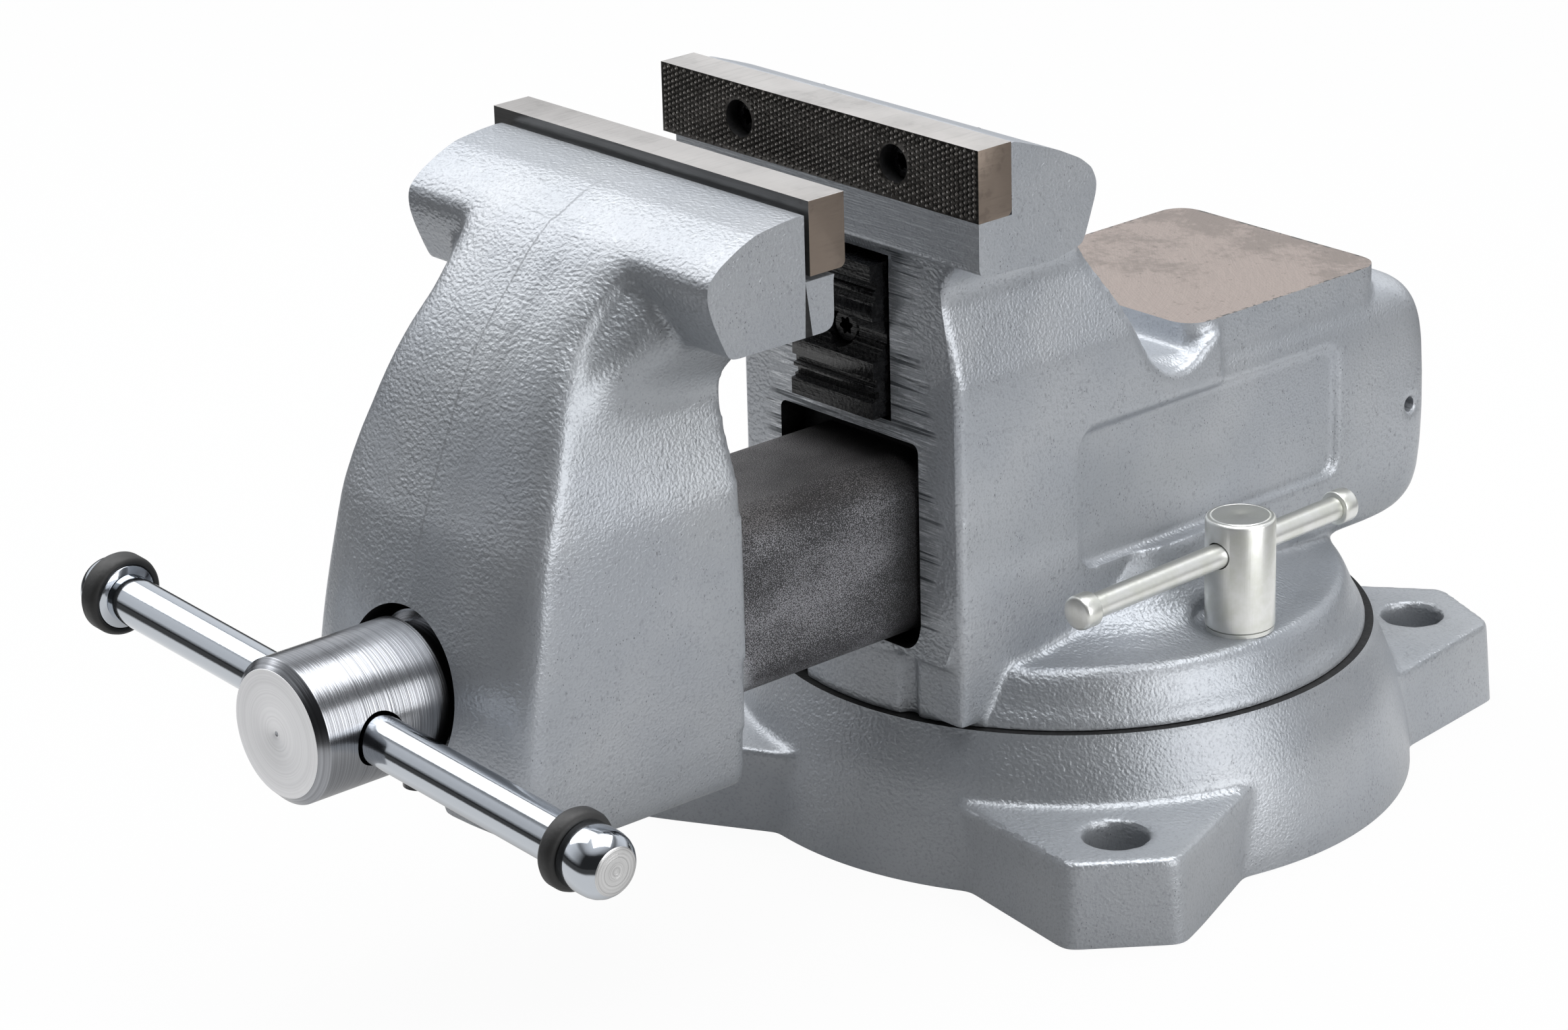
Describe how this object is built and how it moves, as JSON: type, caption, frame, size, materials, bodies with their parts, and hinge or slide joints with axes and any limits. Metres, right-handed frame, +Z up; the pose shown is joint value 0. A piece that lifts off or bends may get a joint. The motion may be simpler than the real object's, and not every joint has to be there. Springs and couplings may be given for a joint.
{
  "type": "bench vise",
  "caption": "Bench vise on a round swivel base, with wide knurled jaws, pipe jaws below them, an anvil behind, a screw with sliding handle and swivel locks.",
  "frame": {"origin": "swivel axis at the bench plane", "axes": "+X across the jaws, +Y along the slide towards the anvil, +Z up"},
  "size_m": [0.2411, 0.4152, 0.22],
  "materials": {
    "cast_paint": "silver grey paint over rough casting",
    "bar_iron": "dark blasted iron",
    "plate_steel": "ground and hardened, knurled face",
    "black_steel": "black oxide",
    "turned_steel": "bright turned",
    "bronze": "plain bronze",
    "plain_steel": "plain machined",
    "chrome": "polished chrome",
    "rubber": "matte black rubber",
    "zinc": "zinc plated"
  },
  "bodies": {
    "base": {"base": "cast_paint"},
    "vise_body": {"body": "cast_paint", "rear_jaw_plate": "plate_steel", "rear_plate_screws": "black_steel", "rear_pipe_jaw": "black_steel", "rear_pipe_screw": "black_steel", "spindle_nut": "plain_steel", "nut_pin": "plain_steel", "t_nut_right": "plain_steel", "t_nut_left": "plain_steel", "lock_washer_right": "zinc", "lock_washer_left": "zinc"},
    "sliding_jaw": {"front_jaw": "cast_paint", "slide_bar": "bar_iron", "front_jaw_plate": "plate_steel", "front_plate_screws": "black_steel", "front_pipe_jaw": "black_steel", "front_pipe_screw": "black_steel", "thrust_washer": "bronze", "keeper_screw": "black_steel"},
    "spindle": {"spindle": "turned_steel"},
    "handle": {"handle_bar": "chrome", "near_knob": "chrome", "far_knob": "chrome", "near_ring": "rubber", "far_ring": "rubber"},
    "lock_right": {"lock_bolt_right": "zinc"},
    "lock_left": {"lock_bolt_left": "zinc"},
    "lock_bar_right": {"lock_bar_right": "zinc", "lock_caps_right": "zinc"},
    "lock_bar_left": {"lock_bar_left": "zinc", "lock_caps_left": "zinc"}
  },
  "joints": [
    {"name": "swivel", "type": "hinge", "parent": "base", "child": "vise_body", "pos_m": [0, 0, 0.0442], "axis": [0, 0, 1], "continuous": true},
    {"name": "jaw_slide", "type": "slide", "parent": "vise_body", "child": "sliding_jaw", "axis": [0, 1, 0], "range_m": [-0.0803, 0.0466]},
    {"name": "spindle_turn", "type": "hinge", "parent": "sliding_jaw", "child": "spindle", "pos_m": [0, -0.2, 0.0938], "axis": [0, 1, 0], "range_deg": [-5790, 3360]},
    {"name": "handle_slide", "type": "slide", "parent": "spindle", "child": "handle", "axis": [0.9975, 0, -0.0706], "range_m": [-0.074, 0.0715]},
    {"name": "lock_turn_right", "type": "hinge", "parent": "vise_body", "child": "lock_right", "pos_m": [0.0695, 0, 0.06], "axis": [0, 0, 1], "range_deg": [-12, 12]},
    {"name": "lock_turn_left", "type": "hinge", "parent": "vise_body", "child": "lock_left", "pos_m": [-0.0695, 0, 0.06], "axis": [0, 0, 1], "range_deg": [-12, 12]},
    {"name": "lock_bar_slide_right", "type": "slide", "parent": "lock_right", "child": "lock_bar_right", "axis": [0.0361, -0.9993, 0], "range_m": [-0.02, 0.02]},
    {"name": "lock_bar_slide_left", "type": "slide", "parent": "lock_left", "child": "lock_bar_left", "axis": [-0.0361, -0.9993, 0], "range_m": [-0.02, 0.02]}
  ],
  "couplings": [
    {"joint": "spindle_turn", "follows": "jaw_slide", "rad_per_m": 1256.6}
  ]
}
